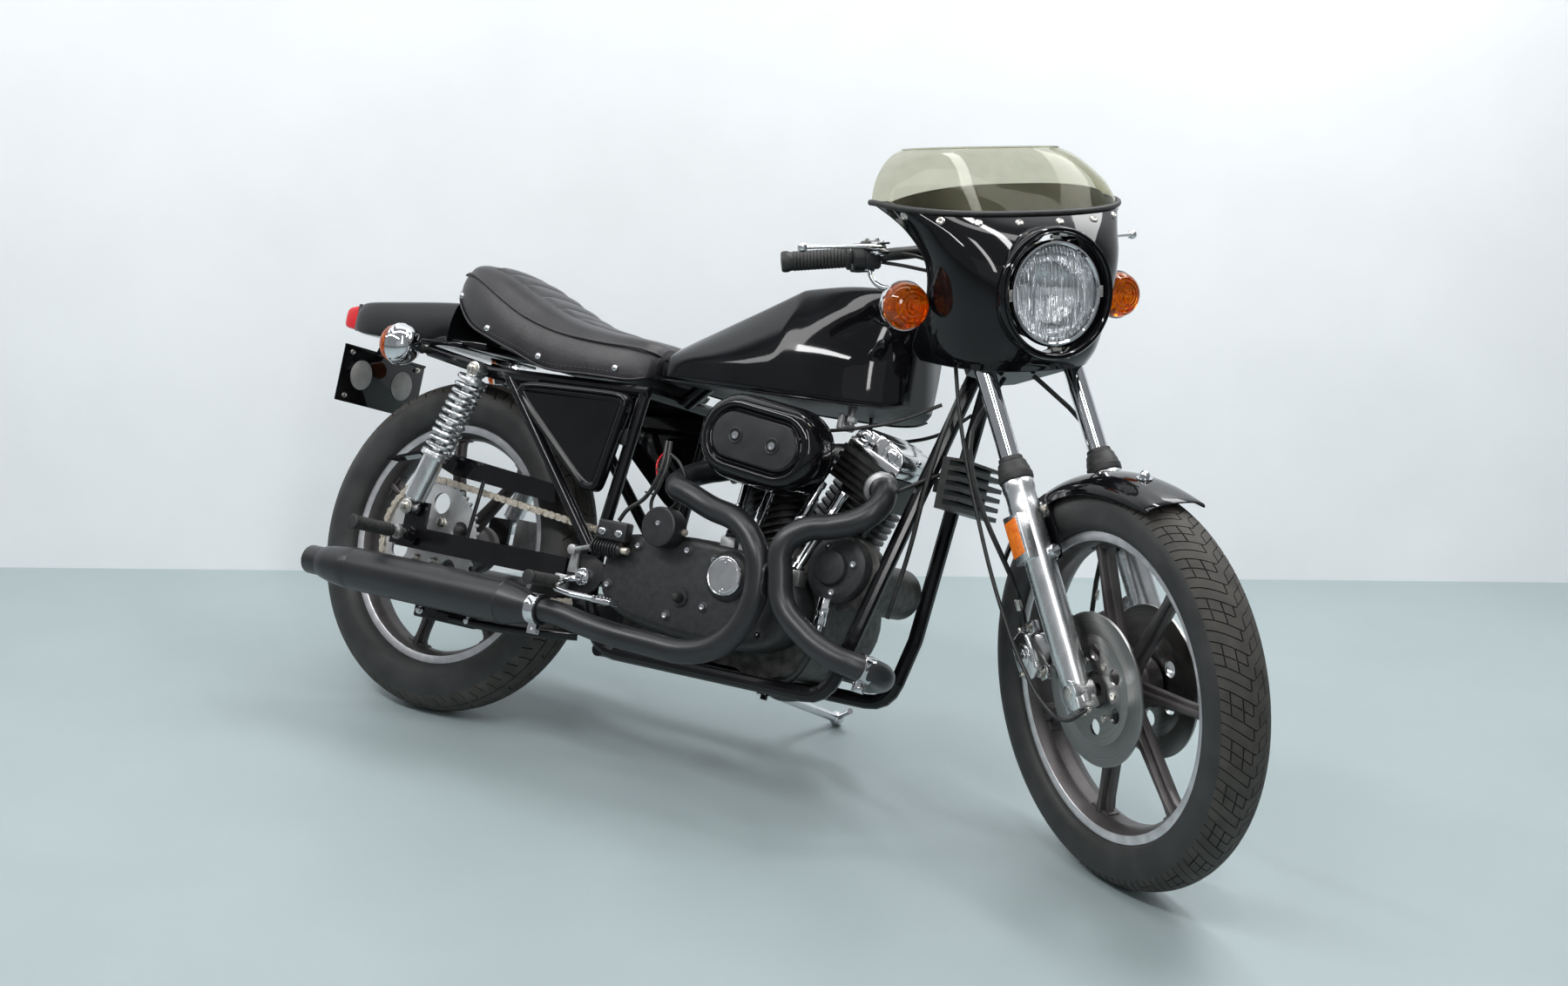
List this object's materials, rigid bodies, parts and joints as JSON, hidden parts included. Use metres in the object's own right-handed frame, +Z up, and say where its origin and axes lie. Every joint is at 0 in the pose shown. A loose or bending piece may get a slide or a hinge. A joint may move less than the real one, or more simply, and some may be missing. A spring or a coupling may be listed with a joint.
{
  "type": "motorcycle",
  "caption": "Black cafe racer motorcycle with a V-twin engine, bikini fairing, solo seat with a hump, cast wheels and a side stand",
  "frame": {"origin": "middle of the outer box on the floor, with the motorcycle leaning on its side stand and its handlebar turned right", "axes": "+X points to the front of the motorcycle along its length, +Y to its left, +Z up"},
  "size_m": [2.1791, 0.8362, 1.1659],
  "materials": {
    "gloss_black": "gloss paint",
    "satin_black": "satin paint",
    "engine_black": "wrinkle black coating",
    "exhaust_black": "matt heatproof black",
    "polished_alloy": "polished",
    "chrome": "mirror chrome",
    "control_rubber": "matt moulded rubber",
    "seat_leather": "black leather, satin",
    "red_lens": "translucent red",
    "amber_lens": "translucent amber",
    "clear_lens": "clear fluted lens in a chrome rim",
    "smoked_screen": "smoked, see-through",
    "cast_wheel": "dark grey paint with machined lips",
    "tyre_rubber": "matt black rubber",
    "brake_steel": "ground steel",
    "cast_caliper": "cast, satin",
    "sprocket_alloy": "machined steel",
    "chain_steel": "plated, oiled"
  },
  "bodies": {
    "chassis": {"frame": "satin_black", "swingarm": "satin_black", "crankcase": "engine_black", "gear_cover": "engine_black", "primary_cover": "engine_black", "front_cylinder": "engine_black", "rear_cylinder": "engine_black", "rocker_boxes": "polished_alloy", "carburettor": "polished_alloy", "air_cleaner": "satin_black", "exhaust_headers": "exhaust_black", "mufflers": "exhaust_black", "side_covers": "gloss_black", "fuel_tank": "gloss_black", "seat": "seat_leather", "tail_section": "gloss_black", "tail_lamp": "red_lens", "number_plate": "gloss_black", "rear_shocks": "chrome", "chain": "chain_steel", "chain_guard": "gloss_black", "rear_signals": "amber_lens", "foot_controls": "polished_alloy", "rear_caliper": "cast_caliper", "regulator": "satin_black"},
    "steering": {"triple_clamps": "satin_black", "fork_tubes": "chrome", "fork_legs": "polished_alloy", "front_fender": "gloss_black", "handlebar": "control_rubber", "levers": "chrome", "fairing": "gloss_black", "windscreen": "smoked_screen", "headlamp": "clear_lens", "front_signals": "amber_lens", "instruments": "satin_black", "front_calipers": "cast_caliper", "brake_hoses": "control_rubber"},
    "front_wheel": {"front_wheel": "cast_wheel", "front_tyre": "tyre_rubber", "front_discs": "brake_steel"},
    "rear_wheel": {"rear_wheel": "cast_wheel", "rear_tyre": "tyre_rubber", "rear_sprocket": "sprocket_alloy"},
    "stand": {"side_stand": "polished_alloy"}
  },
  "joints": [
    {"name": "steering_turn", "type": "hinge", "parent": "chassis", "child": "steering", "pos_m": [0.53219, -0.03169, 0.66952], "axis": [-0.4902, 0.2991, 0.8187], "range_deg": [0, 70]},
    {"name": "front_wheel_spin", "type": "hinge", "parent": "steering", "child": "front_wheel", "pos_m": [0.79234, -0.18865, 0.33447], "axis": [0.5018, 0.8649, -0.0156], "continuous": true},
    {"name": "rear_wheel_spin", "type": "hinge", "parent": "chassis", "child": "rear_wheel", "pos_m": [-0.68467, -0.15659, 0.31831], "axis": [0.0023, 0.9397, -0.342], "continuous": true},
    {"name": "stand_swing", "type": "hinge", "parent": "chassis", "child": "stand", "pos_m": [0.01658, -0.07788, 0.12987], "axis": [-0.0265, 0.4801, 0.8768], "range_deg": [0, 85]}
  ]
}
